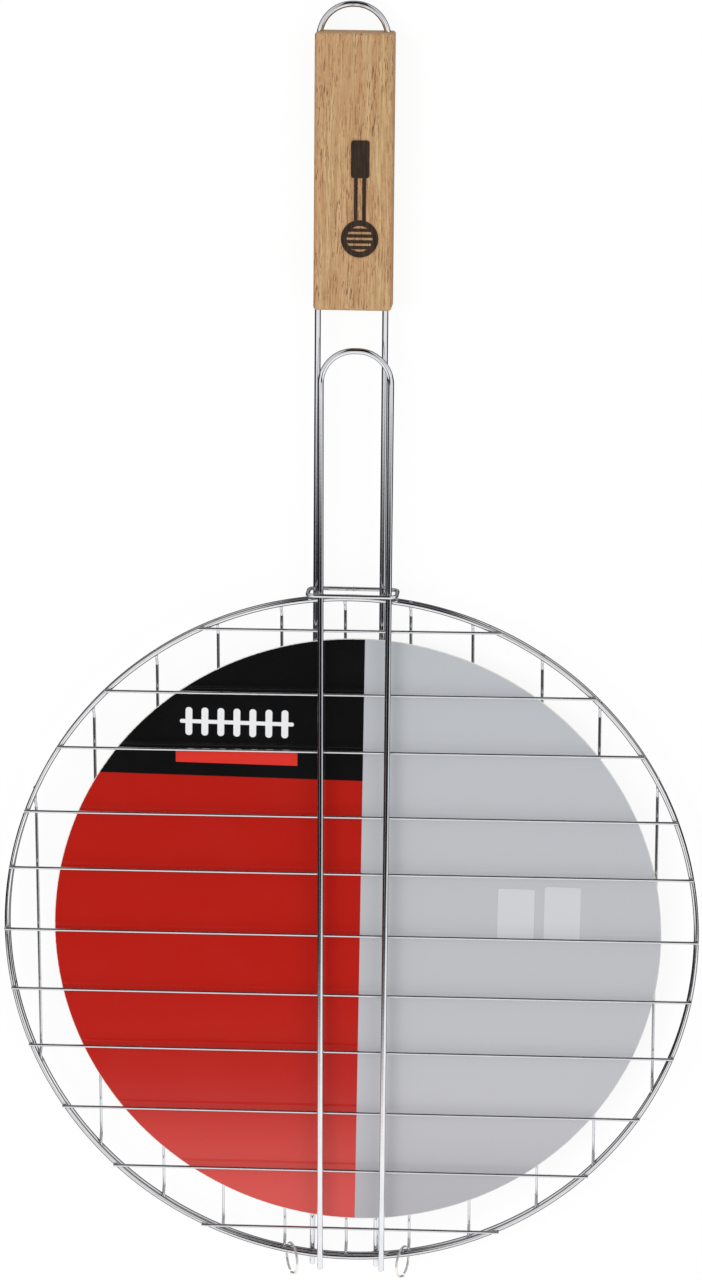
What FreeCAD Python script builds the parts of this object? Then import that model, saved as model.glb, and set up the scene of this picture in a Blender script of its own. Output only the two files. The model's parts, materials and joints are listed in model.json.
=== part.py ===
import FreeCAD, Part
import math
import os

# Round two-sided wire grill basket with a long handle. Millimetres.
# Origin: centre of the round basket, level with the underside of the handle frame's two legs.
# +Z up, +Y along the handle, +X to the right.

os.makedirs("parts", exist_ok=True)
Vector = FreeCAD.Vector
UP = Vector(0, 0, 1)

# ---- wire radii ----
RIM_R = 1.25            # both rims
ROD_R = 1.5             # handle frame and lid loop
GRID_R = 0.75           # floor and lid wires
CLASP_R = 1.0
RING_R = 0.6            # hinge rings

# ---- stack of centrelines, from the bottom up ----
WELD_SINK = 0.15        # how far grid wires are fused into what they are welded to
RIM_WELD_SINK = 0.1     # how far the lower rim is fused into the handle frame
RIM_STEP = 4.0          # from the lower rim up to the lid rim
RIM_TO_WIRE = RIM_R + GRID_R - WELD_SINK
FRAME_Z = ROD_R
LOWER_RIM_Z = FRAME_Z + ROD_R + RIM_R - RIM_WELD_SINK
FLOOR_END_Z = LOWER_RIM_Z + RIM_TO_WIRE
LID_RIM_Z = LOWER_RIM_Z + RIM_STEP
LID_WIRE_Z = LID_RIM_Z + RIM_TO_WIRE
LID_ROD_Z = LID_WIRE_Z + GRID_R + ROD_R - WELD_SINK

# ---- rims ----
RIM_OUTER = 175.0       # outside radius of both rims
RIM_RADIUS = RIM_OUTER - RIM_R
RIM_INNER = RIM_RADIUS - RIM_R

# ---- grids ----
# The wires are set by hand, so the pitch of about 31.4 varies.
FLOOR_X = [-158.4, -128.2, -96.2, -65.6, -33.9, -2.3, 30.1, 60.8, 95.2, 123.9, 153.1]
LID_Y = [157.8, 125.2, 95.8, 62.2, 32.6, 0.1, -31.4, -61.7, -94.5, -125.9, -157.4]
GRID_TURN = 0.5         # degrees that both grids are turned about Z against the handle
END_SETBACK = 0.05      # from the outside of the rim back to the wire ends
FLOOR_Z = 3.0           # centreline of the floor, a shallow dish inside the lower rim
WALL_RUN = 3.5          # how far the wall of a floor wire leans inwards on its way down
WALL_INSET = 1.2        # from the inside of the rim to the top corner of the wall
FLOOR_BEND_R = 2.5

# ---- handle frame: long U under the basket, through the grip, round as a hanging loop ----
FRAME_X = -2.0          # middle between the two legs
FRAME_HALF = 16.4       # half the distance between the legs
FRAME_END_Y = -181.0
FRAME_TIP_Y = 463.0     # centreline of the crown
FRAME_BEND_R = 15.9

# ---- lid loop: U whose legs spread slightly towards the crown ----
LID_END_X = 2.1         # middle at the free ends
LID_END_HALF = 15.7
LID_END_Y = -179.2
LID_TIP_X = 1.0         # middle at the crown
LID_TIP_HALF = 17.2
LID_TIP_Y = 297.7       # centreline of the crown
LID_BEND_R = 16.2

ROD_END_ROUNDING = 0.8  # fillet on the free ends of both rods

# ---- wood grip ----
GRIP_X = -1.2
GRIP_Y0 = 317.0
GRIP_Y1 = 450.0
GRIP_WIDTH = 37.8
GRIP_THICK = 18.0
GRIP_EDGE_R = 2.0
GROOVE_R = ROD_R + 0.03
CROWN_GROOVE_R = GROOVE_R + 0.02
CROWN_LEAD = 0.5        # straight length of the crown cutter before its bends
GROOVE_OVERRUN = 10.0   # cutters reach this far past each end of the grip
SLOT_DEPTH = 10.0       # from the leg's centreline outwards, past the side of the grip

# ---- card insert ----
CARD_R = 153.2
CARD_X = 3.1
CARD_Y = -0.4
CARD_GAP = 0.05         # above the floor wires
CARD_THICK = 0.5

# ---- sliding clasp ----
CLASP_Y = 176.5
CLASP_Z = (FRAME_Z + LID_ROD_Z) / 2 + 0.1
CLASP_HALF_WIDTH = 21.9
CLASP_HALF_HEIGHT = 8.4
CLASP_BEND_R = 4.0

# ---- hinge rings ----
HINGE_Y = -175.3        # axis the rings swing about
HINGE_Z = (LOWER_RIM_Z + LID_RIM_Z) / 2
RING_Y = HINGE_Y - 1.1  # the rings hang a little out and down from that axis
RING_Z = HINGE_Z - 0.6
RING_RADIUS = 7.8
RING_START = 196.0      # degrees from +Y towards +Z, where the wire starts
RING_ARC = 338.0        # degrees of wire, leaving a gap on the -Y side
FLARE_R = 4.0           # reverse bend of the free end
FLARE_ARC = 38.0        # degrees
# name, side (-1 left, 1 right), distance from the Y axis, degrees the top leans inwards
HINGE_RINGS = [
    ("left", -1, 28.6, 25.0),
    ("right", 1, 28.4, 20.0),
]


def single_solid(shape):
    """Return the shape's only solid, or stop the build."""
    solids = shape.Solids
    if len(solids) != 1 or not solids[0].isValid():
        raise SystemExit("expected one valid solid, got %d solids" % len(solids))
    return solids[0]


def save(name, shape):
    single_solid(shape).exportStep("parts/%s.step" % name)


def wire_section(wire_r, centre, heading):
    return Part.Face(Part.Wire(Part.makeCircle(wire_r, centre, heading)))


def bent_wire(points, bend_r, wire_r):
    """Round wire through points, with an arc of radius bend_r at each inner point."""
    pieces = []
    position = points[0]
    for before, corner, after in zip(points, points[1:], points[2:]):
        heading = (corner - before).normalize()
        next_heading = (after - corner).normalize()
        turn = math.acos(max(-1.0, min(1.0, heading.dot(next_heading))))
        setback = bend_r * math.tan(turn / 2)
        axis = heading.cross(next_heading).normalize()
        start = corner - heading * setback
        leg = start - position
        # legs are left out where two bends meet
        if leg.Length > 1e-4:
            pieces.append(wire_section(wire_r, position, leg).extrude(leg))
        centre = start + axis.cross(heading) * bend_r
        section = wire_section(wire_r, start, heading)
        pieces.append(section.revolve(centre, axis, math.degrees(turn)))
        position = corner + next_heading * setback
    leg = points[-1] - position
    pieces.append(wire_section(wire_r, position, leg).extrude(leg))
    return single_solid(pieces[0].multiFuse(pieces[1:]))


def u_points(end_x, end_half, end_y, tip_x, tip_half, tip_y, z):
    """Corners of a flat U, open towards -Y, from its left end to its right end."""
    return [Vector(end_x - end_half, end_y, z), Vector(tip_x - tip_half, tip_y, z),
            Vector(tip_x + tip_half, tip_y, z), Vector(end_x + end_half, end_y, z)]


def frame_points(end_y):
    return u_points(FRAME_X, FRAME_HALF, end_y, FRAME_X, FRAME_HALF, FRAME_TIP_Y, FRAME_Z)


def round_free_ends(rod, end_y):
    edges = [edge for edge in rod.Edges if abs(edge.CenterOfMass.y - end_y) < 0.1]
    return rod.makeFillet(ROD_END_ROUNDING, edges)


def half_chord(radius, offset):
    return math.sqrt(radius ** 2 - offset ** 2)


def rim(z):
    return Part.makeTorus(RIM_RADIUS, RIM_R, Vector(0, 0, z), UP)


def floor_wire(x):
    """Wire along Y that rests on the lower rim and dips to the floor inside it."""
    end = half_chord(RIM_OUTER, x) - END_SETBACK
    top = half_chord(RIM_INNER, x) - WALL_INSET
    foot = top - WALL_RUN
    stations = [(-end, FLOOR_END_Z), (-top, FLOOR_END_Z), (-foot, FLOOR_Z),
                (foot, FLOOR_Z), (top, FLOOR_END_Z), (end, FLOOR_END_Z)]
    wire = bent_wire([Vector(x, y, z) for y, z in stations], FLOOR_BEND_R, GRID_R)
    wire.rotate(Vector(0, 0, 0), UP, GRID_TURN)
    return wire


def lid_wire(y):
    """Straight wire along X on top of the lid rim."""
    end = half_chord(RIM_OUTER, y) - END_SETBACK
    wire = Part.makeCylinder(GRID_R, 2 * end, Vector(-end, y, LID_WIRE_Z), Vector(1, 0, 0))
    wire.rotate(Vector(0, 0, 0), UP, GRID_TURN)
    return wire


def handle_frame():
    rod = bent_wire(frame_points(FRAME_END_Y), FRAME_BEND_R, ROD_R)
    return round_free_ends(rod, FRAME_END_Y)


def lid_loop():
    points = u_points(LID_END_X, LID_END_HALF, LID_END_Y,
                      LID_TIP_X, LID_TIP_HALF, LID_TIP_Y, LID_ROD_Z)
    return round_free_ends(bent_wire(points, LID_BEND_R, ROD_R), LID_END_Y)


def wood_grip():
    """Rounded block with one open groove along each narrow side."""
    corner = Vector(GRIP_X - GRIP_WIDTH / 2, GRIP_Y0, FRAME_Z - GRIP_THICK / 2)
    grip = Part.makeBox(GRIP_WIDTH, GRIP_Y1 - GRIP_Y0, GRIP_THICK, corner)
    grip = grip.makeFillet(GRIP_EDGE_R, grip.Edges)
    length = GRIP_Y1 - GRIP_Y0 + 2 * GROOVE_OVERRUN
    start_y = GRIP_Y0 - GROOVE_OVERRUN
    left_x = FRAME_X - FRAME_HALF
    right_x = FRAME_X + FRAME_HALF
    for leg_x, slot_x in ((left_x, left_x - SLOT_DEPTH), (right_x, right_x)):
        bore = Part.makeCylinder(GROOVE_R, length, Vector(leg_x, start_y, FRAME_Z),
                                 Vector(0, 1, 0))
        slot = Part.makeBox(SLOT_DEPTH, length, 2 * GROOVE_R,
                            Vector(slot_x, start_y, FRAME_Z - GROOVE_R))
        grip = grip.cut(bore.fuse(slot))
    # the hanging loop is already bending where it leaves the grip
    crown = frame_points(FRAME_TIP_Y - FRAME_BEND_R - CROWN_LEAD)
    return grip.cut(bent_wire(crown, FRAME_BEND_R, CROWN_GROOVE_R))


def card_insert():
    base = Vector(CARD_X, CARD_Y, FLOOR_Z + GRID_R + CARD_GAP)
    return Part.makeCylinder(CARD_R, CARD_THICK, base)


def sliding_clasp():
    """Closed rounded rectangle round both handles, from the middle of its bottom side."""
    bottom = CLASP_Z - CLASP_HALF_HEIGHT
    top = CLASP_Z + CLASP_HALF_HEIGHT
    half = CLASP_HALF_WIDTH
    corners = [(0, bottom), (half, bottom), (half, top),
               (-half, top), (-half, bottom), (0, bottom)]
    return bent_wire([Vector(x, CLASP_Y, z) for x, z in corners], CLASP_BEND_R, CLASP_R)


def hinge_ring(side, offset_x, lean_deg):
    """Split ring round both rims, in a plane leaning off the Y-Z plane."""
    lean = math.radians(lean_deg)
    centre = Vector(side * offset_x, RING_Y, RING_Z)
    along = Vector(0, 1, 0)
    rise = Vector(-side * math.sin(lean), 0, math.cos(lean))
    normal = along.cross(rise)

    def outward(degrees):
        angle = math.radians(degrees)
        return along * math.cos(angle) + rise * math.sin(angle)

    def section(degrees):
        point = centre + outward(degrees) * RING_RADIUS
        return wire_section(RING_R, point, outward(degrees + 90))

    body = section(RING_START).revolve(centre, normal, RING_ARC)
    # the free end turns outwards a little
    end = RING_START + RING_ARC
    flare_centre = centre + outward(end) * (RING_RADIUS + FLARE_R)
    flare = section(end).revolve(flare_centre, normal * -1, FLARE_ARC)
    return body.fuse(flare)


# ---- lower basket and handle ----
save("lower_rim", rim(LOWER_RIM_Z))
for number, x in enumerate(FLOOR_X, 1):
    save("floor_wire_%02d" % number, floor_wire(x))
save("handle_frame", handle_frame())
save("wood_grip", wood_grip())
save("card_insert", card_insert())

# ---- lid ----
save("lid_rim", rim(LID_RIM_Z))
for number, y in enumerate(LID_Y, 1):
    save("lid_wire_%02d" % number, lid_wire(y))
save("lid_handle_loop", lid_loop())

# ---- clasp and hinge ----
save("sliding_clasp", sliding_clasp())
for name, side, offset_x, lean_deg in HINGE_RINGS:
    save("hinge_ring_" + name, hinge_ring(side, offset_x, lean_deg))
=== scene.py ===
"""Hinged wire grill basket with a wood grip and a printed round card.

It lies flat: +Z is up, the round grids are centred near the origin, the hinge
rings sit at the -Y edge and the handle runs out along +Y to the grip.
"""
import json
import math

import bmesh
import bpy
import numpy as np
from mathutils import Matrix, Vector


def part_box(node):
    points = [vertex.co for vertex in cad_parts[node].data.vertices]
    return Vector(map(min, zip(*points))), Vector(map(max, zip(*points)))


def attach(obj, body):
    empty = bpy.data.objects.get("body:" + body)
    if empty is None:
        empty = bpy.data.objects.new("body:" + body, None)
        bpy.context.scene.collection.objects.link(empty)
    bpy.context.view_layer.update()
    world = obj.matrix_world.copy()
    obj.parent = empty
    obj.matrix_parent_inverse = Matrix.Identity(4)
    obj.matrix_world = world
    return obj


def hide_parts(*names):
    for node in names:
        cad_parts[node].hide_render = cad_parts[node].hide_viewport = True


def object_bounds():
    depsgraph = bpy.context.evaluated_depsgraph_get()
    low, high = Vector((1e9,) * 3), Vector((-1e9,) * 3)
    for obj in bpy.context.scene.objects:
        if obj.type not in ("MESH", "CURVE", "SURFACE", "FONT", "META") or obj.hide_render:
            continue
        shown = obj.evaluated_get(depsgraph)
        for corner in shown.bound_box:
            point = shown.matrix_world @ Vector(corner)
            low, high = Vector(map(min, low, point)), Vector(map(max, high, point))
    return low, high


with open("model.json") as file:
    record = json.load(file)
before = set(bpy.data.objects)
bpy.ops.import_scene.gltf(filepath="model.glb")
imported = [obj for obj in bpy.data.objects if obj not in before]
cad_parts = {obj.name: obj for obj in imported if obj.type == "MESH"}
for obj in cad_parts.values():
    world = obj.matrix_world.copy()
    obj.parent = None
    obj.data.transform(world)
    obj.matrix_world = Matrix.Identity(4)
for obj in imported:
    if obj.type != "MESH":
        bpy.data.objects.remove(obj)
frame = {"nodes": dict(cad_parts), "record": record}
cad_box = [[float(v) for v in corner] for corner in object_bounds()]

body_of_node = {member: body
                for body, members in frame["record"]["behaviour"]["bodies"].items()
                for member in members}

# ------------------------------------------------------------------ sizes

MM = 0.001
X, Y, Z = (1, 0, 0), (0, 1, 0), (0, 0, 1)

GRID_TURN = math.radians(0.5)    # both grids are turned a little about Z
GRID_WIRE = 0.75 * MM            # radius of the thin grid wires
GRID_END_GAP = 0.05 * MM         # grid wires stop this far inside the rim's outer edge
WELD_REACH = 2.6 * MM            # how far a weld discolours the wire around it
WELD_SINK = 0.12 * MM            # how far a grid weld is moved into its joint

LOWER_WELD_ANGLE = 67.0          # where each rim closes, degrees from +X
LID_WELD_ANGLE = 88.4

FLOOR_STEP = 1.2 * MM            # floor wires start to drop this far inside the lower rim
FLOOR_SLOPE = 3.5 * MM           # length in Y of the sloping part
FLOOR_BEND = 2.5 * MM

LOOP_BEND = 16.2 * MM            # bend radii of the three bent rods
FRAME_BEND = 15.9 * MM
CLASP_BEND = 4.0 * MM

# name, side, distance of the centre from the YZ plane, lean about Y in degrees
HINGE_RINGS = (("hinge_ring_left", -1, 28.6 * MM, 25.0),
               ("hinge_ring_right", 1, 28.4 * MM, 20.0))
RING_Y, RING_Z = -176.4 * MM, 5.55 * MM
RING_RADIUS, RING_WIRE = 7.8 * MM, 0.6 * MM
RING_START, RING_ARC = 196.0, 338.0            # degrees
RING_FLARE_RADIUS, RING_FLARE = 4.0 * MM, 38.0    # outward curl of the open end

GRIP_EDGE = 2.0 * MM             # rounding of the long edges
GRIP_EDGE_MIN = 0.12 * MM
GRIP_END_LOW, GRIP_END_HIGH = 1.7 * MM, 1.3 * MM    # rounding of the -Y and +Y ends
GROOVE_GAP = 0.03 * MM           # between rod and groove
GROOVE_LIP = 0.25 * MM           # height of the lip beside the groove mouth
MOUTH_DEPTH, MOUTH_WIDEN = 0.10 * MM, 0.06 * MM     # chamfer of the groove mouth
MARK_X, MARK_Y = 2.2, 352.0      # burnt sign on the grip, in mm

CARD_EDGE = 0.08 * MM            # chamfer of the cut edge
PRINT_TURN = math.radians(0.5)   # the print is turned clockwise, seen from above


def low_high(node):
    low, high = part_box(node)
    return np.array(low, float), np.array(high, float)


def rim_size(node):
    """Radius of the ring's centre line, wire radius and height."""
    low, high = low_high(node)
    wire = (high[2] - low[2]) / 2
    return (high[0] - low[0]) / 2 - wire, wire, (high[2] + low[2]) / 2


def centre(node, axis):
    low, high = low_high(node)
    return (low[axis] + high[axis]) / 2


lower_radius, lower_wire, lower_z = rim_size("lower_rim")
lid_radius, lid_wire, lid_z = rim_size("lid_rim")

floor_nodes = ["floor_wire_%02d" % i for i in range(1, 12)]
lid_nodes = ["lid_wire_%02d" % i for i in range(1, 12)]
floor_x = [centre(node, 0) for node in floor_nodes]
lid_y = [centre(node, 1) for node in lid_nodes]
lid_wire_z = centre("lid_wire_06", 2)

frame_low, frame_high = low_high("handle_frame")
rod_radius = (frame_high[2] - frame_low[2]) / 2
rod_z = (frame_high[2] + frame_low[2]) / 2
rod_x = (frame_low[0] + rod_radius, frame_high[0] - rod_radius)

# The lid loop's legs are not parallel: each runs from foot_x at the -Y end to tip_x.
loop_low, loop_high = low_high("lid_handle_loop")
loop_wire = (loop_high[2] - loop_low[2]) / 2
loop_z = (loop_high[2] + loop_low[2]) / 2
foot_y, tip_y = loop_low[1], loop_high[1] - loop_wire
loop_points = np.array([v.co for v in frame["nodes"]["lid_handle_loop"].data.vertices], float)
feet = loop_points[loop_points[:, 1] < foot_y + 1.4 * MM][:, 0]
foot_x = [(foot.min() + foot.max()) / 2
          for foot in (feet[feet < feet.mean()], feet[feet > feet.mean()])]
# The box gives the left leg's tip only where it agrees with the part's own coordinates.
box_agrees = abs(loop_low[0] - loop_points[:, 0].min()) < 1e-9
tip_x = (loop_low[0] + loop_wire if box_agrees else foot_x[0], loop_high[0] - loop_wire)


def loop_legs_at(y):
    share = (y - foot_y) / (tip_y - foot_y)
    return [foot + (tip - foot) * share for foot, tip in zip(foot_x, tip_x)]


def turned(point):
    """A point turned with the grids."""
    c, s = math.cos(GRID_TURN), math.sin(GRID_TURN)
    return (point[0] * c - point[1] * s, point[0] * s + point[1] * c, point[2])


def half_chord(radius, offset):
    return math.sqrt(radius * radius - offset * offset)


# ------------------------------------------------------------------ mesh tools

class Build:
    """Collects closed shells, then makes one mesh object of them."""

    def __init__(self):
        self.verts, self.faces, self.weld = [], [], []

    def add(self, verts, faces, weld=0.0):
        base = len(self.verts)
        self.verts += [tuple(map(float, v)) for v in verts]
        self.faces += [tuple(base + i for i in f) for f in faces]
        self.weld += [weld] * len(verts)

    def tube(self, path, radius, normal, closed=False, segments=28, end=0.45, radius_at=None):
        """Round wire along a path in the plane with this normal.

        end is the share of the radius that is rounded off at a cut end.
        """
        path = np.asarray(path, float)
        normal = np.asarray(normal, float)
        normal = normal / np.linalg.norm(normal)
        if closed:
            tangent = np.roll(path, -1, 0) - np.roll(path, 1, 0)
        else:
            tangent = np.gradient(path, axis=0)
            tangent[0] = path[1] - path[0]
            tangent[-1] = path[-1] - path[-2]
        tangent /= np.linalg.norm(tangent, axis=1)[:, None]
        side = np.cross(tangent, normal)
        side /= np.linalg.norm(side, axis=1)[:, None]
        up = np.cross(side, tangent)
        stations = [(at, side[i], up[i], radius if radius_at is None else radius_at(at))
                    for i, at in enumerate(path)]
        if not closed:
            rounding = radius * end
            clear = rounding * 1.3
            keep = [s for s in stations[1:-1]
                    if np.linalg.norm(s[0] - path[0]) > clear
                    and np.linalg.norm(s[0] - path[-1]) > clear]

            def rounded(i, outward):
                out = []
                for k in range(6):
                    a = math.radians(90 * k / 5)
                    out.append((path[i] - outward * (rounding - rounding * math.sin(a)),
                                side[i], up[i], radius - rounding + rounding * math.cos(a)))
                return out

            stations = rounded(0, -tangent[0])[::-1] + keep + rounded(-1, tangent[-1])
        ring = [(math.cos(2 * math.pi * k / segments), math.sin(2 * math.pi * k / segments))
                for k in range(segments)]
        verts = [at + across * (c * r) + upward * (s * r)
                 for at, across, upward, r in stations for c, s in ring]
        faces = []
        count = len(stations)
        for i in range(count if closed else count - 1):
            row, following = i * segments, (i + 1) % count * segments
            for k in range(segments):
                l = (k + 1) % segments
                faces.append((row + k, following + k, following + l, row + l))
        if not closed:
            first, last = len(verts), len(verts) + 1
            row = (count - 1) * segments
            verts += [path[0], path[-1]]
            for k in range(segments):
                l = (k + 1) % segments
                faces += [(first, k, l), (last, row + l, row + k)]
        self.add(verts, faces)

    def blob(self, at, size, turn=0.0, rings=9, segments=18):
        """A small closed weld nugget, turned about Z."""
        c, s = math.cos(turn), math.sin(turn)
        verts = [Vector(at) + Vector((0, 0, size[2]))]
        for i in range(1, rings):
            p = math.pi * i / rings
            for k in range(segments):
                a = 2 * math.pi * k / segments
                x = size[0] * math.sin(p) * math.cos(a)
                y = size[1] * math.sin(p) * math.sin(a)
                offset = Vector((x * c - y * s, x * s + y * c, size[2] * math.cos(p)))
                verts.append(Vector(at) + offset)
        verts.append(Vector(at) - Vector((0, 0, size[2])))
        faces = []
        last_row = 1 + (rings - 2) * segments
        for k in range(segments):
            l = (k + 1) % segments
            faces.append((0, 1 + k, 1 + l))
            for i in range(rings - 2):
                row = 1 + i * segments
                below = row + segments
                faces.append((row + k, below + k, below + l, row + l))
            faces.append((last_row + k, len(verts) - 1, last_row + l))
        self.add(verts, faces, weld=1.0)

    def grid_weld(self, at, angle, width):
        """Nugget under a grid wire where it crosses its rim."""
        self.blob((at[0], at[1], at[2] + WELD_SINK), (1.25 * MM, width, 0.42 * MM), turn=angle)

    def butt_weld(self, at, tangent, radius, bulge):
        """Low raised collar where a bent wire closes on itself."""
        at, tangent = np.array(at, float), np.array(tangent, float)
        tangent /= np.linalg.norm(tangent)
        normal = np.cross(tangent, (0.3, 0.5, 0.8))    # any direction across the wire
        length = radius * 1.1
        path = [at + tangent * length * (k / 8 - 1) for k in range(17)]

        def swell(point):
            distance = abs(float((point - at) @ tangent)) / length
            return radius * (0.93 + bulge * math.cos(min(1, distance) * math.pi / 2))

        self.tube(path, radius * 0.93, normal, radius_at=swell, end=0.5)

    def make(self, name, welds):
        """The mesh object. Its weld attribute is 1 at a weld and fades out around it."""
        mesh = bpy.data.meshes.new(name)
        mesh.from_pydata(self.verts, [], self.faces)
        mesh.update()
        mesh.polygons.foreach_set("use_smooth", [True] * len(mesh.polygons))
        points = np.array(self.verts)
        weld = np.array(self.weld)
        for spot in welds:
            distance = np.linalg.norm(points - np.array(spot), axis=1)
            weld = np.maximum(weld, np.clip(1 - distance / WELD_REACH, 0, 1) ** 1.5)
        attribute = mesh.attributes.new("weld", "FLOAT", "POINT")
        attribute.data.foreach_set("value", weld.astype(np.float32))
        obj = bpy.data.objects.new(name, mesh)
        bpy.context.scene.collection.objects.link(obj)
        return obj


def tidy(mesh, sharp_angle):
    """Turn normals outward. With a sharp angle, also split flat caps and mark hard edges."""
    bm = bmesh.new()
    bm.from_mesh(mesh)
    bmesh.ops.recalc_face_normals(bm, faces=bm.faces)
    if sharp_angle is not None:
        caps = [f for f in bm.faces if len(f.verts) > 4]
        for cap in caps:
            cap.smooth = False
        bmesh.ops.triangulate(bm, faces=caps, ngon_method="BEAUTY")
        for edge in bm.edges:
            if edge.calc_face_angle(0) > math.radians(sharp_angle):
                edge.smooth = False
    bm.to_mesh(mesh)
    bm.free()


def piece(build, node, look, welds=(), body=None, sharp_angle=None):
    """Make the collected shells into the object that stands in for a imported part."""
    obj = build.make(node + "_look", welds)
    tidy(obj.data, sharp_angle)
    obj.data.materials.append(look)
    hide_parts(node)
    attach(obj, body or body_of_node[node])


def arc_path(points, bends, step_deg=5.0, spacing=6 * MM):
    """Polyline through points with a true arc at each inner point."""
    points = [np.array(p, float) for p in points]
    out = [points[0]]

    def straight(to):
        start = out[-1]
        n = max(1, int(np.linalg.norm(to - start) / spacing))
        for k in range(1, n + 1):
            out.append(start + (to - start) * k / n)

    for i, radius in enumerate(bends, 1):
        before = points[i] - points[i - 1]
        after = points[i + 1] - points[i]
        before /= np.linalg.norm(before)
        after /= np.linalg.norm(after)
        turn = math.acos(max(-1, min(1, float(before @ after))))
        start = points[i] - before * (radius * math.tan(turn / 2))
        axis = np.cross(before, after)
        axis /= np.linalg.norm(axis)
        pivot = start + np.cross(axis, before) * radius
        if np.linalg.norm(start - out[-1]) > 1e-6:
            straight(start)
        n = max(3, int(math.degrees(turn) / step_deg))
        arm = start - pivot
        for k in range(1, n + 1):
            q = turn * k / n
            out.append(pivot + arm * math.cos(q) + np.cross(axis, arm) * math.sin(q))
    straight(points[-1])
    return np.array(out)


# ------------------------------------------------------------------ shader tools

def srgb(r, g, b):
    """8-bit display colour as linear RGBA."""
    def linear(c):
        c /= 255.0
        return c / 12.92 if c <= 0.04045 else ((c + 0.055) / 1.055) ** 2.4
    return (linear(r), linear(g), linear(b), 1.0)


class Nodes:
    """Short forms for shader nodes. Any value may be a number or a socket."""

    def __init__(self, tree):
        self.tree = tree
        tree.nodes.clear()

    def new(self, kind, **settings):
        node = self.tree.nodes.new(kind)
        for key, value in settings.items():
            setattr(node, key, value)
        return node

    def put(self, socket, value):
        if isinstance(value, bpy.types.NodeSocket):
            self.tree.links.new(value, socket)
        else:
            socket.default_value = value

    def filled(self, node, values, output=0):
        """Fill the first inputs in order and give back one output."""
        for i, value in enumerate(values):
            self.put(node.inputs[i], value)
        return node.outputs[output]

    def math(self, operation, a, b=0.0):
        return self.filled(self.new("ShaderNodeMath", operation=operation), (a, b, 0.0))

    def add(self, a, b): return self.math("ADD", a, b)
    def sub(self, a, b): return self.math("SUBTRACT", a, b)
    def mul(self, a, b): return self.math("MULTIPLY", a, b)
    def maxi(self, a, b): return self.math("MAXIMUM", a, b)
    def mini(self, a, b): return self.math("MINIMUM", a, b)
    def absolute(self, a): return self.math("ABSOLUTE", a)

    def length(self, a, b):
        return self.math("SQRT", self.add(self.mul(a, a), self.mul(b, b)))

    def ramp(self, value, span, to=(0.0, 1.0), smooth=True):
        """Map the span onto to, clamped at both ends."""
        node = self.new("ShaderNodeMapRange", clamp=True)
        node.interpolation_type = "SMOOTHSTEP" if smooth else "LINEAR"
        return self.filled(node, (value, *span, *to))

    def mix(self, factor, a, b, amount=None):
        """Colour a to colour b; amount scales the factor."""
        if amount is not None:
            factor = self.mul(factor, amount)
        node = self.new("ShaderNodeMix", data_type="RGBA")
        self.put(node.inputs[0], factor)
        self.put(node.inputs[6], a)
        self.put(node.inputs[7], b)
        return node.outputs[2]

    def mix_shader(self, factor, a, b):
        return self.filled(self.new("ShaderNodeMixShader"), (factor, a, b))

    def noise(self, vector, scale, detail, rough, distortion=0.0):
        node = self.new("ShaderNodeTexNoise")
        self.put(node.inputs["Vector"], vector)
        node.inputs["Scale"].default_value = scale
        node.inputs["Detail"].default_value = detail
        node.inputs["Roughness"].default_value = rough
        node.inputs["Distortion"].default_value = distortion
        return node.outputs["Fac"]

    def stretched(self, place, stretch, detail, rough, distortion=0.0):
        """Noise with its own frequency per mm along each axis; 0 leaves an axis out."""
        parts = [self.mul(v, k) if k else 0.0 for v, k in zip(place, stretch)]
        vector = self.filled(self.new("ShaderNodeCombineXYZ"), parts)
        return self.noise(vector, 1.0, detail, rough, distortion)

    def object_mm(self):
        """Object coordinates in millimetres."""
        place = self.new("ShaderNodeTexCoord").outputs["Object"]
        node = self.new("ShaderNodeVectorMath", operation="SCALE")
        self.put(node.inputs[0], place)
        node.inputs["Scale"].default_value = 1000.0
        return node.outputs[0]

    def xyz(self, vector):
        node = self.new("ShaderNodeSeparateXYZ")
        self.put(node.inputs[0], vector)
        return node.outputs

    def geometry(self, output):
        return self.xyz(self.new("ShaderNodeNewGeometry").outputs[output])

    def box_distance(self, x, y, at, half, corner):
        """Signed distance to a rounded rectangle, in the units of x and y."""
        dx = self.sub(self.absolute(self.sub(x, at[0])), half[0] - corner)
        dy = self.sub(self.absolute(self.sub(y, at[1])), half[1] - corner)
        outside = self.length(self.maxi(dx, 0.0), self.maxi(dy, 0.0))
        inside = self.mini(self.maxi(dx, dy), 0.0)
        return self.sub(self.add(outside, inside), corner)

    def bump(self, height, strength, distance):
        node = self.new("ShaderNodeBump")
        node.inputs["Strength"].default_value = strength
        node.inputs["Distance"].default_value = distance
        self.put(node.inputs["Height"], height)
        return node.outputs[0]

    def principled(self, **values):
        node = self.new("ShaderNodeBsdfPrincipled")
        for key, value in values.items():
            self.put(node.inputs[key.replace("_", " ")], value)
        return node.outputs[0]

    def output(self, shader, kind="ShaderNodeOutputMaterial"):
        self.put(self.new(kind).inputs[0], shader)


def material(name):
    made = bpy.data.materials.new(name)
    made.use_nodes = True
    return made, Nodes(made.node_tree)


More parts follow.
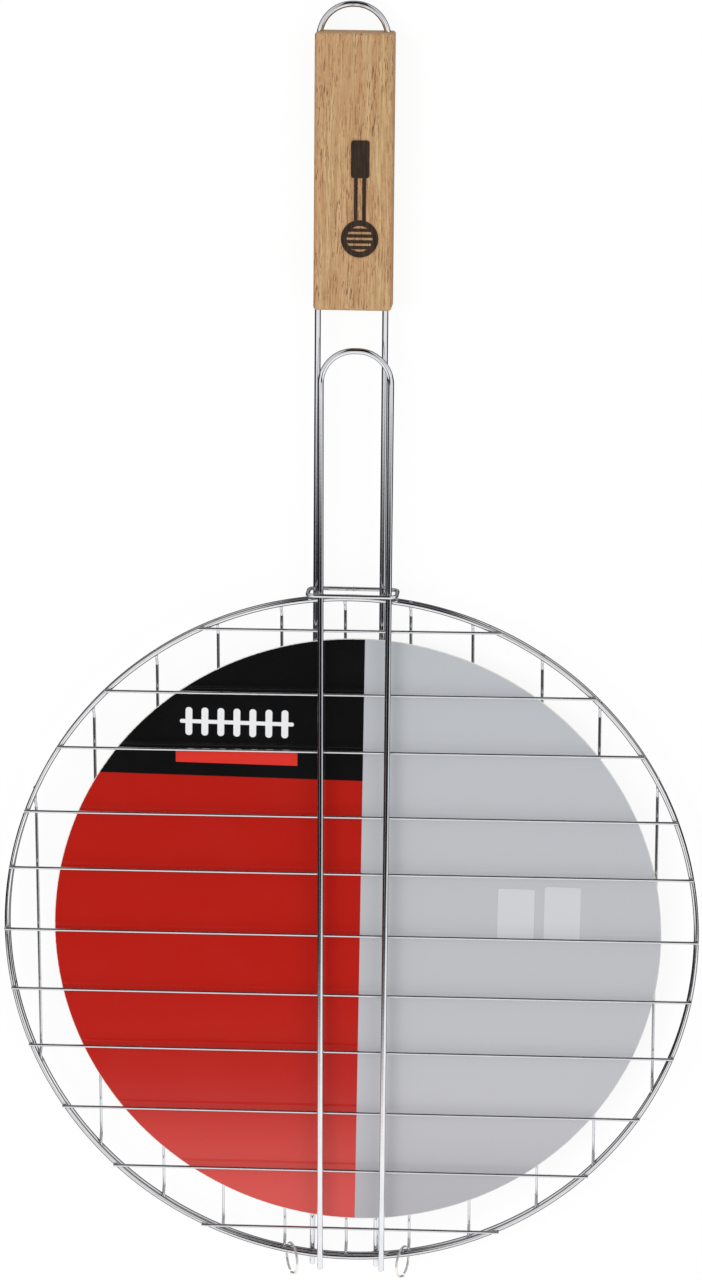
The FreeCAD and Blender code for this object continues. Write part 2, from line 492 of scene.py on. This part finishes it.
def studio_level(g, x, y, screens=True):
    """How bright the studio is in a direction, as polished wire sees it.

    It is bright low on the hinge side (-Y). With screens there are also patches at
    +X, at -X, overhead, and in the two corners towards the grip (+Y).
    """
    def band(value, rise, fall):
        return g.mul(g.ramp(value, span=rise), g.ramp(value, span=fall))

    skewed = g.sub(y, g.mul(g.maxi(x, 0.0), 0.06))    # edge of the hinge side slants at +X
    hinge_side = g.ramp(skewed, span=(-0.318, -0.372))
    if not screens:
        return g.maxi(hinge_side, g.mul(g.ramp(y, span=(0.05, 0.20)), 0.5))
    # spans are in direction components, the last factors are brightnesses
    right = g.mul(band(x, rise=(0.80, 0.86), fall=(0.985, 0.955)), 0.9)
    left = g.mul(g.ramp(g.absolute(g.sub(x, -0.52)), span=(0.03, 0.06), to=(1.0, 0.0)), 0.55)
    overhead = g.mul(band(y, rise=(-0.225, -0.165), fall=(0.24, 0.12)),
                     g.ramp(g.absolute(x), span=(0.90, 0.74)))
    corners = g.mul(g.mul(g.ramp(g.absolute(x), span=(0.26, 0.40)),
                          g.ramp(y, span=(0.02, 0.14))), 0.62)
    return g.maxi(g.maxi(g.maxi(hinge_side, right), corners),
                  g.maxi(left, g.mul(overhead, 0.86)))


# ------------------------------------------------------------------ materials

def chrome(name, tint, rough, painted_edge_dark, painted_edge_span, fade=False):
    """Bright plated wire with a painted dark reflection along its edges; fade weakens that painted
    shade towards the hinge.
    """
    made, g = material(name)
    vector = g.object_mm()
    weld = g.new("ShaderNodeAttribute", attribute_name="weld").outputs["Fac"]
    cloud = g.noise(vector, scale=0.09, detail=3, rough=0.6)
    fine = g.noise(vector, scale=2.4, detail=5, rough=0.65)
    drawn = g.noise(vector, scale=0.8, detail=3, rough=0.5, distortion=0.4)
    dull, burnt, painted_edge_colour = (0.55, 0.55, 0.58, 1), (0.33, 0.30, 0.29, 1), (0.085, 0.085, 0.10, 1)

    base = g.mix(g.ramp(cloud, span=(0.3, 0.75)), tuple(c * 0.93 for c in tint) + (1,), tint + (1,))
    base = g.mix(g.ramp(fine, span=(0.6, 0.85), to=(0, 0.22)), base, dull)
    base = g.mix(weld, base, burnt, amount=0.75)
    # painted reflection: the wire's edges are darkened as if they mirrored dark surroundings, less so
    # towards the hinge
    facing = g.new("ShaderNodeLayerWeight")
    facing.inputs["Blend"].default_value = 0.5
    painted_edge_shade = g.ramp(facing.outputs["Facing"], span=painted_edge_span, to=(0.0, painted_edge_dark))
    if fade:
        y = g.xyz(vector)[1]
        painted_edge_shade = g.mul(painted_edge_shade, g.ramp(y, span=(-130.0, 20.0), to=(0.25, 1.0)))
    base = g.mix(painted_edge_shade, base, painted_edge_colour)

    # welds are rougher and lumpier than the drawn wire
    roughness = g.add(g.ramp(fine, span=(0.35, 0.8), to=(rough, rough + 0.05)), g.mul(weld, 0.26))
    lumps = g.mul(g.noise(vector, scale=3.2, detail=4, rough=0.7), weld)
    height = g.add(g.mul(drawn, 0.6), g.mul(lumps, 2.0))
    g.output(g.principled(Base_Color=base, Metallic=1.0, Roughness=roughness,
                          Normal=g.bump(height, strength=0.12, distance=0.00004)))
    return made


def grate_sign(g, x, y):
    """Distance in mm to the sign: a round grate on two sticks with a grip. Origin in the grate."""
    radius = g.length(x, y)
    shape = g.sub(g.absolute(g.sub(radius, 7.6)), 1.35)    # ring: radius, half width
    inner = g.sub(radius, 7.2)                             # bars end here
    for bar_y in (-4.2, -1.4, 1.4, 4.2):
        bar = g.sub(g.absolute(g.sub(y, bar_y)), 0.78)
        shape = g.mini(shape, g.maxi(bar, inner))
    for stick_x in (-2.0, 2.0):
        stick = g.box_distance(x, y, at=(stick_x, 18.5), half=(0.85, 11.8), corner=0.2)
        shape = g.mini(shape, stick)
    return g.mini(shape, g.box_distance(x, y, at=(0.0, 38.2), half=(4.4, 9.0), corner=1.4))


def wood(name, centre_x):
    """Open-pored wood with the grain along Y and a burnt sign on the upper face."""
    made, g = material(name)
    vector = g.object_mm()
    x, y, z = g.xyz(vector)
    u = g.sub(x, centre_x)
    # the grain wanders up to a few mm sideways along the handle
    wander = g.stretched((x, y, z), stretch=(0, 0.016, 0.01), detail=2, rough=0.5)
    ux = g.add(u, g.mul(g.sub(wander, 0.5), 6.0))
    place = (ux, y, z)
    fibre = g.stretched(place, stretch=(1.5, 0.045, 1.5), detail=7, rough=0.68)
    streak = g.stretched(place, stretch=(0.34, 0.012, 0.3), detail=4, rough=0.6, distortion=0.3)
    broad = g.stretched(place, stretch=(0.11, 0.006, 0.1), detail=2, rough=0.5)
    cross = g.stretched((u, y, z), stretch=(0.5, 0.55, 0.5), detail=3, rough=0.5)

    colour = g.mix(g.ramp(fibre, span=(0.36, 0.66)), srgb(168, 130, 87), srgb(205, 173, 129))
    # layers over the fibres: noise, span, strength, colour
    for layer, span, strength, layer_colour in (
            (streak, (0.44, 0.64), 0.6, srgb(176, 130, 88)),
            (streak, (0.44, 0.34), 0.30, srgb(214, 184, 140)),
            (broad, (0.40, 0.66), 0.45, srgb(186, 143, 104)),
            (cross, (0.52, 0.72), 0.16, srgb(210, 182, 142))):
        colour = g.mix(g.ramp(layer, span=span, to=(0, strength)), colour, layer_colour)
    left_edge = g.ramp(u, span=(-18.9, -16.6), to=(1.0, 0.0))
    colour = g.mix(left_edge, colour, srgb(168, 116, 74), amount=0.35)

    # open pores: short dark dashes along the grain, in two sizes, thinned out in patches
    pore_a = g.stretched(place, stretch=(2.7, 0.17, 2.7), detail=2, rough=0.5)
    pore_b = g.stretched((g.add(ux, 41.0), g.add(y, 17.0), z), stretch=(1.5, 0.11, 1.5),
                         detail=2, rough=0.5)
    patch = g.ramp(g.stretched(place, stretch=(0.10, 0.02, 0), detail=2, rough=0.5),
                   span=(0.35, 0.6), to=(0.45, 1.0))
    pores = g.mul(g.maxi(g.ramp(pore_a, span=(0.60, 0.66)), g.ramp(pore_b, span=(0.62, 0.67))),
                  patch)
    colour = g.mix(pores, colour, srgb(118, 70, 42), amount=0.85)

    # end grain: growth rings round a point outside the block, bent by noise
    normal = g.geometry("Normal")
    end = g.ramp(g.absolute(normal[1]), span=(0.72, 0.95))

    def offset_square(value, offset):
        return g.mul(g.add(value, offset), g.add(value, offset))

    from_heart = g.math("SQRT", g.add(offset_square(u, 34.0), offset_square(z, 26.0)))
    bend = g.stretched((u, y, z), stretch=(0.16, 0, 0.16), detail=3, rough=0.6)
    rings = g.math("SINE", g.add(g.mul(from_heart, 1.7), g.add(g.mul(fibre, 4.0), g.mul(bend, 9.0))))
    speck = g.ramp(g.stretched((u, y, z), stretch=(2.6, 0, 2.6), detail=2, rough=0.5),
                   span=(0.6, 0.68))
    end_colour = g.mix(g.ramp(rings, span=(-1.0, 1.0)), srgb(178, 137, 95), srgb(194, 156, 112))
    end_colour = g.mix(speck, end_colour, srgb(96, 62, 36), amount=0.6)
    colour = g.mix(end, colour, end_colour)

    # burnt sign with a wobbly outline and a scorched halo
    wobble = g.mul(g.sub(g.noise(vector, scale=1.5, detail=3, rough=0.6), 0.5), 0.55)
    shape = g.add(grate_sign(g, g.sub(x, MARK_X), g.sub(y, MARK_Y)), wobble)
    upper = g.ramp(normal[2], span=(0.5, 0.9))
    burnt = g.mul(g.ramp(shape, span=(-0.10, 0.28), to=(1.0, 0.0)), upper)
    halo = g.mul(g.ramp(shape, span=(0.0, 1.5), to=(1.0, 0.0)), upper)
    char = g.mix(g.ramp(fibre, span=(0.35, 0.7)), srgb(17, 12, 11), srgb(36, 25, 21))
    colour = g.mix(halo, colour, srgb(128, 84, 48), amount=0.30)
    colour = g.mix(burnt, colour, char, amount=g.ramp(fibre, span=(0.25, 0.6), to=(1.0, 0.93)))

    # fibres stand up, pores and the sign are sunk
    height = g.sub(g.sub(g.mul(fibre, 0.5), g.mul(pores, 1.0)), g.mul(burnt, 1.1))
    roughness = g.add(g.ramp(fibre, span=(0.3, 0.7), to=(0.50, 0.66)), g.mul(burnt, 0.15))
    g.output(g.principled(Base_Color=colour, Roughness=roughness, Specular_IOR_Level=0.32,
                          Normal=g.bump(height, strength=0.55, distance=0.00014)))
    return made


def printed_card(name, centre_x, centre_y, radius):
    """Glossy print: grey left and red right, with a black field over the grey at +Y. In mm."""
    made, g = material(name)
    vector = g.object_mm()
    x, y, _ = g.xyz(vector)
    c, s = math.cos(PRINT_TURN), math.sin(PRINT_TURN)
    dx, dy = g.sub(x, centre_x), g.sub(y, centre_y)
    px = g.sub(g.mul(dx, c), g.mul(dy, s))
    py = g.add(g.mul(dx, s), g.mul(dy, c))
    blur = 0.12         # half width of a printed edge
    split_x = 1.75      # grey and black left of this, red right
    field_y = 80.0      # the black field starts here
    sign_x, sign_y, bar_pitch = -61.5, 108.0, 8.0

    def fill(distance):
        return g.ramp(distance, span=(-blur, blur), to=(1.0, 0.0), smooth=False)

    # painted light: towards -Y the grey and red are lighter as painted glare; near the -Y edge the
    # grey is darker as painted shade and the red lighter as painted glare
    low = g.ramp(py, span=(150.0, -150.0), smooth=False)
    grey = g.mix(low, srgb(184, 187, 191), srgb(189, 188, 192))
    grey = g.mix(g.ramp(py, span=(-80.0, -150.0)), grey, srgb(174, 172, 177))
    red = g.mix(low, srgb(171, 24, 13), srgb(184, 28, 17))
    red = g.mix(g.ramp(py, span=(-70.0, -150.0)), red, srgb(206, 73, 67))
    left = g.sub(px, split_x)
    colour = g.mix(fill(left), red, grey) if False else g.mix(fill(left), grey, red)
    colour = g.mix(g.mul(fill(left), fill(g.sub(field_y, py))), colour, srgb(9, 9, 10))

    # plain red bar and a small white grate sign in the black field
    bar = g.box_distance(px, py, at=(sign_x, 90.2), half=(30.5, 3.5), corner=0.3)
    colour = g.mix(fill(bar), colour, srgb(214, 52, 42))
    sign = None
    for k in range(-3, 4):
        rod = g.box_distance(px, py, at=(sign_x + bar_pitch * k, sign_y), half=(1.7, 7.2),
                             corner=1.6)
        sign = rod if sign is None else g.mini(sign, rod)
    rail = g.box_distance(px, py, at=(sign_x, sign_y), half=(28.5, 1.0), corner=0.9)
    colour = g.mix(fill(g.mini(sign, rail)), colour, srgb(232, 232, 233))

    # two blank stickers with a darker outline
    label = g.mini(g.box_distance(px, py, at=(80.0, 13.2), half=(9.3, 13.4), corner=1.2),
                   g.box_distance(px, py, at=(103.2, 14.4), half=(9.2, 14.0), corner=1.2))
    colour = g.mix(fill(label), colour, srgb(203, 204, 208))
    label_rim = fill(g.sub(g.absolute(label), 0.12))
    colour = g.mix(label_rim, colour, srgb(140, 143, 150), amount=0.35)

    # print grain, then the bare board at the cut edge and underneath
    grain = g.noise(vector, scale=1.1, detail=4, rough=0.7)
    mottled = g.noise(vector, scale=0.035, detail=3, rough=0.5)
    colour = g.mix(g.ramp(grain, span=(0.55, 0.8), to=(0, 0.008)), colour, (0.8, 0.8, 0.8, 1))
    colour = g.mix(g.ramp(mottled, span=(0.45, 0.7), to=(0, 0.003)), colour, (0.5, 0.5, 0.5, 1))
    ragged = g.mul(g.noise(vector, scale=0.7, detail=3, rough=0.6), 0.35)
    cut = g.ramp(g.add(g.length(dx, dy), ragged), span=(radius - 0.25, radius - 0.05))
    colour = g.mix(cut, colour, srgb(224, 222, 216))
    underside = g.ramp(g.geometry("Normal")[2], span=(-0.3, -0.6))
    colour = g.mix(underside, colour, srgb(196, 190, 178))

    height = g.add(g.mul(g.noise(vector, scale=0.9, detail=3, rough=0.6), 0.5),
                   g.mul(fill(label), 0.8))
    g.output(g.principled(Base_Color=colour, Specular_IOR_Level=0.06,
                          Roughness=g.ramp(grain, span=(0.3, 0.8), to=(0.34, 0.42)),
                          Coat_Weight=0.85, Coat_Roughness=0.045,
                          Normal=g.bump(height, strength=0.05, distance=0.00003)))
    return made


def pale_floor(name):
    """Near-white floor: mostly flat white to the camera, a simple studio to reflections."""
    made, g = material(name)
    soft = g.noise(g.object_mm(), scale=0.004, detail=2, rough=0.5)
    matt = g.principled(Base_Color=g.mix(soft, (0.88, 0.88, 0.885, 1), (0.91, 0.91, 0.91, 1)),
                        Roughness=0.9, Specular_IOR_Level=0.1,
                        Emission_Color=(1.0, 1.0, 1.0, 1), Emission_Strength=0.10)
    white = g.new("ShaderNodeEmission").outputs[0]
    incoming = g.geometry("Incoming")
    level = studio_level(g, g.mul(incoming[0], -1.0), g.mul(incoming[1], -1.0), screens=False)
    glow = g.filled(g.new("ShaderNodeEmission"),
                    [g.mix(level, (0.07, 0.07, 0.08, 1), (0.95, 0.95, 0.96, 1))])
    ray = g.new("ShaderNodeLightPath").outputs
    white_share = g.mul(ray["Is Camera Ray"], 0.88)
    seen = g.mix_shader(white_share, matt, white)
    g.output(g.mix_shader(ray["Is Glossy Ray"], seen, glow))
    return made


# the strength of the painted dark edge reflection is set per kind of wire
wire_bright = chrome("chrome_wire", tint=(0.86, 0.87, 0.89), rough=0.035,
                     painted_edge_dark=0.75, painted_edge_span=(0.20, 0.50), fade=True)
wire_rim = chrome("chrome_rim_wire", tint=(0.98, 0.98, 0.99), rough=0.08,
                  painted_edge_dark=0.93, painted_edge_span=(0.10, 0.36))
wire_thin = chrome("chrome_thin_wire", tint=(0.80, 0.81, 0.83), rough=0.06,
                   painted_edge_dark=0.25, painted_edge_span=(0.25, 0.62))
ring_metal = chrome("ring_wire", tint=(0.97, 0.93, 0.89), rough=0.24,
                    painted_edge_dark=0.15, painted_edge_span=(0.25, 0.62))


# ------------------------------------------------------------------ wire pieces

def rim(node, radius, wire, z, weld_angle, crossings):
    """Closed wire circle. crossings are the untuned XY points where grid wires meet it."""
    build = Build()
    circle = [(radius * math.cos(2 * math.pi * k / 720), radius * math.sin(2 * math.pi * k / 720), z)
              for k in range(720)]
    build.tube(circle, wire, Z, closed=True, segments=32)
    a = math.radians(weld_angle)
    build.butt_weld((radius * math.cos(a), radius * math.sin(a), z),
                    (-math.sin(a), math.cos(a), 0), wire, bulge=0.12)
    piece(build, node, wire_rim, [turned((x, y, z + wire)) for x, y in crossings])


def rims():
    rim("lower_rim", lower_radius, lower_wire, lower_z, LOWER_WELD_ANGLE,
        [(x, side * half_chord(lower_radius, x)) for x in floor_x for side in (1, -1)])
    rim("lid_rim", lid_radius, lid_wire, lid_z, LID_WELD_ANGLE,
        [(side * half_chord(lid_radius, y), y) for y in lid_y for side in (1, -1)])


def floor_wire(node, x):
    """Wire along Y, resting on the lower rim and dropping to the floor level inside it."""
    low, high = low_high(node)
    end_z, floor_z = high[2] - GRID_WIRE, low[2] + GRID_WIRE
    top = half_chord(lower_radius - lower_wire, x) - FLOOR_STEP
    foot = top - FLOOR_SLOPE
    far = half_chord(lower_radius + lower_wire, x) - GRID_END_GAP
    points = [(x, -far, end_z), (x, -top, end_z), (x, -foot, floor_z),
              (x, foot, floor_z), (x, top, end_z), (x, far, end_z)]
    build = Build()
    path = [turned(p) for p in arc_path(points, [FLOOR_BEND] * 4)]
    build.tube(path, GRID_WIRE, turned(X), segments=20, end=0.35)
    y = half_chord(lower_radius, x)
    spots = []
    for side in (-1, 1):
        at = turned((x, side * y, end_z - GRID_WIRE))
        build.grid_weld(at, math.atan2(x, -side * y) + GRID_TURN, width=1.1 * MM)
        spots.append(at)
    piece(build, node, wire_thin, spots)


def lid_grid_wire(node, y):
    """Straight wire along X over the lid rim and under the legs of the lid's loop."""
    build = Build()
    far = half_chord(lid_radius + lid_wire, y) - GRID_END_GAP
    path = [turned((far * (2 * k / 60 - 1), y, lid_wire_z)) for k in range(61)]
    build.tube(path, GRID_WIRE, Z, segments=20, end=0.35)
    x = half_chord(lid_radius, y)
    spots = []
    for side in (-1, 1):
        at = turned((side * x, y, lid_wire_z - GRID_WIRE))
        build.grid_weld(at, math.atan2(side * x, -y) + GRID_TURN, width=1.05 * MM)
        spots.append(at)
    for leg_x in loop_legs_at(y):
        leg_y = y + leg_x * math.tan(GRID_TURN)
        top_z = lid_wire_z + GRID_WIRE
        build.blob((leg_x, leg_y, top_z - WELD_SINK), (1.05 * MM, 1.25 * MM, 0.42 * MM))
        spots.append((leg_x, leg_y, top_z))
    piece(build, node, wire_thin, spots)


def lid_handle_loop():
    """U of wire over the lid, closed at +Y."""
    build = Build()
    points = [(foot_x[0], foot_y, loop_z), (tip_x[0], tip_y, loop_z),
              (tip_x[1], tip_y, loop_z), (foot_x[1], foot_y, loop_z)]
    build.tube(arc_path(points, [LOOP_BEND] * 2, step_deg=3.0), loop_wire, Z,
               segments=32, end=0.55)
    spots = [(x, y, loop_z - loop_wire) for y in lid_y for x in loop_legs_at(y)]
    piece(build, "lid_handle_loop", wire_bright, spots)


def handle_frame():
    """U of thick rod, closed at +Y, that crosses the lower rim and carries the grip."""
    build = Build()
    tip = frame_high[1] - rod_radius
    points = [(rod_x[0], frame_low[1], rod_z), (rod_x[0], tip, rod_z),
              (rod_x[1], tip, rod_z), (rod_x[1], frame_low[1], rod_z)]
    build.tube(arc_path(points, [FRAME_BEND] * 2, step_deg=3.0), rod_radius, Z,
               segments=32, end=0.55)
    spots = []
    crown_x = (rod_x[0] + rod_x[1]) / 2
    # two collars on the crown: distance from its middle in X, bulge
    for dx, bulge in ((-0.6 * MM, 0.08), (3.9 * MM, 0.06)):
        x, y = crown_x + dx, tip + half_chord(FRAME_BEND, dx) - FRAME_BEND
        build.butt_weld((x, y, rod_z), (1.0, -dx / FRAME_BEND, 0.0), rod_radius * 0.985, bulge)
        spots.append((x, y, rod_z + rod_radius))
    for x in rod_x:
        for side in (-1, 1):
            y = side * half_chord(lower_radius, x)
            build.blob((x, y, rod_z + rod_radius - 0.05 * MM), (1.9 * MM, 1.6 * MM, 0.6 * MM))
            spots.append((x, y, rod_z + rod_radius))
    piece(build, "handle_frame", wire_bright, spots)


def sliding_clasp():
    """Closed rounded rectangle of wire, upright across the handle."""
    low, high = low_high("sliding_clasp")
    wire = (high[1] - low[1]) / 2
    y = (high[1] + low[1]) / 2
    x0, x1, z0, z1 = low[0] + wire, high[0] - wire, low[2] + wire, high[2] - wire
    joint = ((x0 + x1) / 2, y, z0)
    corners = [(x1, y, z0), (x1, y, z1), (x0, y, z1), (x0, y, z0)]
    path = arc_path([joint] + corners + [joint], [CLASP_BEND] * 4, step_deg=4.0, spacing=3 * MM)
    build = Build()
    build.tube(path[:-1], wire, Y, closed=True, segments=28)
    build.butt_weld(joint, X, wire, bulge=0.24)
    piece(build, "sliding_clasp", wire_bright, [joint])


def hinge_ring(node, side, distance, lean_deg):
    """Nearly closed leaning ring whose last end curls outward."""
    lean = math.radians(lean_deg)
    middle = np.array((side * distance, RING_Y, RING_Z))
    along = np.array((0.0, 1.0, 0.0))
    upward = np.array((-side * math.sin(lean), 0.0, math.cos(lean)))
    normal = np.cross(along, upward)
    path = []
    for k in range(121):
        a = math.radians(RING_START + RING_ARC * k / 120)
        path.append(middle + RING_RADIUS * (along * math.cos(a) + upward * math.sin(a)))
    away = (path[-1] - middle) / np.linalg.norm(path[-1] - middle)
    pivot = path[-1] + away * RING_FLARE_RADIUS
    arm = path[-1] - pivot
    for k in range(1, 13):
        q = -math.radians(RING_FLARE) * k / 12
        path.append(pivot + arm * math.cos(q) + np.cross(normal, arm) * math.sin(q))
    build = Build()
    build.tube(path, RING_WIRE, normal, segments=24, end=0.5)
    piece(build, node, ring_metal)


# ------------------------------------------------------------------ wood grip

def grip_profile(middle_x, middle_z, half_width, half_height):
    """Outline in X and Z: rounded block with an open groove in each narrow side.

    half_width and half_height are (full, inset) pairs of the block and this station.
    """
    width = half_width[0] - half_width[1]
    height = half_height[0] - half_height[1]
    corner = max(GRIP_EDGE - half_width[1], GRIP_EDGE_MIN)
    groove = rod_radius + GROOVE_GAP
    points = []
    # the second side is the first one turned by half a turn
    for s in (1, -1):
        rod = rod_x[1] if s > 0 else rod_x[0]
        side_x = middle_x + s * width
        mouth_x = side_x - s * MOUTH_DEPTH

        def put(x, z):
            points.append((x, middle_z + s * z))

        def round_corner(start_deg, z):
            for k in range(9):
                a = math.radians(start_deg + 90 * k / 8)
                put(side_x - s * corner + s * corner * math.cos(a), z + corner * math.sin(a))

        round_corner(-90, corner - height)
        for k in range(1, 5):
            put(side_x, (corner - height) * (1 - k / 4) - (groove + GROOVE_LIP) * k / 4)
        put(mouth_x, -groove - MOUTH_WIDEN)
        for k in range(1, 4):
            put(mouth_x + (rod - mouth_x) * k / 4, -groove)
        for k in range(13):
            a = math.radians(-90 - 180 * k / 12)
            put(rod + s * groove * math.cos(a), groove * math.sin(a))
        for k in range(3, 0, -1):
            put(mouth_x + (rod - mouth_x) * k / 4, groove)
        put(mouth_x, groove + MOUTH_WIDEN)
        for k in range(4):
            put(side_x, (groove + GROOVE_LIP) * (1 - k / 4) + (height - corner) * k / 4)
        round_corner(0, height - corner)
        # broad face, subdivided
        start_x = side_x - s * corner
        end_x = middle_x - s * (width - corner)
        for k in range(1, 20):
            put(start_x + (end_x - start_x) * k / 20, height)
    return points


def wood_grip():
    low, high = low_high("wood_grip")
    middle = (low + high) / 2
    half = (high - low) / 2

    def end_stations(y, radius, inward):
        angles = [math.radians(90 * k / 7) for k in range(8)]
        return [(y + inward * radius * (1 - math.cos(a)), radius * (1 - math.sin(a)))
                for a in angles]

    # stations along the grip: y, inset of the outline
    body_low, body_high = low[1] + GRIP_END_LOW, high[1] - GRIP_END_HIGH
    stations = (end_stations(low[1], GRIP_END_LOW, 1)
                + [(body_low + (body_high - body_low) * k / 60, 0.0) for k in range(1, 60)]
                + end_stations(high[1], GRIP_END_HIGH, -1)[::-1])
    verts, faces = [], []
    for y, inset in stations:
        profile = grip_profile(middle[0], middle[2], (half[0], inset), (half[2], inset))
        verts += [(x, y, z) for x, z in profile]
    count = len(profile)
    last = (len(stations) - 1) * count
    for row in range(0, last, count):
        for k in range(count):
            l = (k + 1) % count
            faces.append((row + k, row + l, row + count + l, row + count + k))
    faces.append(tuple(reversed(range(count))))
    faces.append(tuple(last + k for k in range(count)))
    build = Build()
    build.add(verts, faces)
    piece(build, "wood_grip", wood("grip_wood", middle[0] / MM),
          body="basket", sharp_angle=42)


# ------------------------------------------------------------------ card

def card_insert():
    """Thin round board, lifted slightly towards its edges."""
    low, high = low_high("card_insert")
    middle_x, middle_y = (low[0] + high[0]) / 2, (low[1] + high[1]) / 2
    radius = (high[0] - low[0]) / 2
    bottom, top = low[2], high[2]
    around, out_rings = 256, 60

    def point(x, y, z):
        u, v = (x - middle_x) / radius, (y - middle_y) / radius
        # lift in mm at the +Y, -Y and -X edges, and a faint ripple
        lift = (0.55 * max(0.0, v) ** 2 + 0.9 * max(0.0, -v) ** 2 + 0.25 * max(0.0, -u) ** 2
                + 0.05 * math.sin(3.1 * u + 1.7 * v) * (u * u + v * v))
        return (x, y, z + MM * lift)

    # rings from the top centre over the cut edge to the bottom centre: radius, z
    radii = [radius * (k / out_rings) for k in range(1, out_rings)] + [radius - CARD_EDGE]
    rings = ([(r, top) for r in radii]
             + [(radius, top - CARD_EDGE), (radius, bottom + CARD_EDGE)]
             + [(r, bottom) for r in reversed(radii)])
    angles = [2 * math.pi * k / around for k in range(around)]
    verts = [point(middle_x + r * math.cos(a), middle_y + r * math.sin(a), z)
             for r, z in rings for a in angles]
    faces = []
    last = (len(rings) - 1) * around
    for row in range(0, last, around):
        for k in range(around):
            l = (k + 1) % around
            faces.append((row + k, row + around + k, row + around + l, row + l))
    top_centre, bottom_centre = len(verts), len(verts) + 1
    verts += [point(middle_x, middle_y, top), point(middle_x, middle_y, bottom)]
    for k in range(around):
        l = (k + 1) % around
        faces += [(top_centre, k, l), (bottom_centre, last + l, last + k)]
    build = Build()
    build.add(verts, faces)
    look = printed_card("printed_card", middle_x / MM, middle_y / MM, radius / MM)
    piece(build, "card_insert", look, body="basket", sharp_angle=35)


rims()
for name, x in zip(floor_nodes, floor_x):
    floor_wire(name, x)
for name, y in zip(lid_nodes, lid_y):
    lid_grid_wire(name, y)
lid_handle_loop()
handle_frame()
sliding_clasp()
for ring in HINGE_RINGS:
    hinge_ring(*ring)
wood_grip()
card_insert()


# ------------------------------------------------------------------ stage

def stage_floor():
    half = 6.0
    z = cad_box[0][2] - 0.4 * MM
    mesh = bpy.data.meshes.new("floor")
    mesh.from_pydata([(-half, -half, z), (half, -half, z), (half, half, z), (-half, half, z)],
                     [], [(0, 1, 2, 3)])
    floor = bpy.data.objects.new("floor", mesh)
    bpy.context.scene.collection.objects.link(floor)
    mesh.materials.append(pale_floor("pale_floor"))


def studio_world():
    """Even light on matt surfaces, screens in reflections, white to the camera."""
    world = bpy.data.worlds.new("studio")
    bpy.context.scene.world = world
    world.use_nodes = True
    g = Nodes(world.node_tree)
    direction = g.xyz(g.new("ShaderNodeTexCoord").outputs["Generated"])
    studio = g.mix(studio_level(g, direction[0], direction[1]),
                   (0.012, 0.012, 0.016, 1), (1.45, 1.45, 1.46, 1))
    ray = g.new("ShaderNodeLightPath").outputs
    colour = g.mix(ray["Is Glossy Ray"], (0.98, 0.99, 1.0, 1), studio)
    colour = g.mix(ray["Is Camera Ray"], colour, (1.40, 1.40, 1.40, 1))
    strength = 0.72
    background = g.filled(g.new("ShaderNodeBackground"), (colour, strength))
    g.output(background, kind="ShaderNodeOutputWorld")


def area_light(name, place, power, colour):
    """Square lamp aimed at the basket, not seen in reflections."""
    light = bpy.data.lights.new(name, "AREA")
    light.shape = "RECTANGLE"
    light.size = light.size_y = 1.6
    light.energy = power
    light.color = colour
    lamp = bpy.data.objects.new(name, light)
    bpy.context.scene.collection.objects.link(lamp)
    lamp.location = place
    aim = Vector((0, 0.1, 0)) - Vector(place)
    lamp.rotation_euler = aim.to_track_quat("-Z", "Y").to_euler()
    lamp.visible_glossy = False
    lamp.visible_camera = False


def add_camera():
    """Camera above the basket, looking down with +Y up in the view."""
    place = Vector((0.12407879570878535, 0.6093529361342956, 1.8451753266854728))
    # rows: the camera's right, up and backward directions
    axes = Matrix(((0.9975423749033921, 0.007861428661256048, -0.06962333094232134),
                   (-0.024367184768695888, 0.9705822117738514, -0.23953373560863392),
                   (0.06569208916260963, 0.24064157605780154, 0.9683884454566096)))
    data = bpy.data.cameras.new("camera")
    data.sensor_fit = "AUTO"
    data.sensor_width = 36.0
    data.lens = 108.13124823348329
    data.clip_start = 0.05
    data.clip_end = 50.0
    camera = bpy.data.objects.new("camera", data)
    bpy.context.scene.collection.objects.link(camera)
    camera.matrix_world = Matrix.Translation(place) @ axes.transposed().to_4x4()
    bpy.context.scene.camera = camera


stage_floor()
studio_world()
area_light("key", place=(-1.3, 0.5, 2.2), power=22.0, colour=(1.0, 0.985, 0.965))
area_light("fill", place=(1.6, -0.6, 1.9), power=14.0, colour=(0.97, 0.985, 1.0))
add_camera()
view = bpy.context.scene.view_settings
view.view_transform = "Standard"
view.look = "None"
view.exposure = 0.0

bpy.context.view_layer.update()
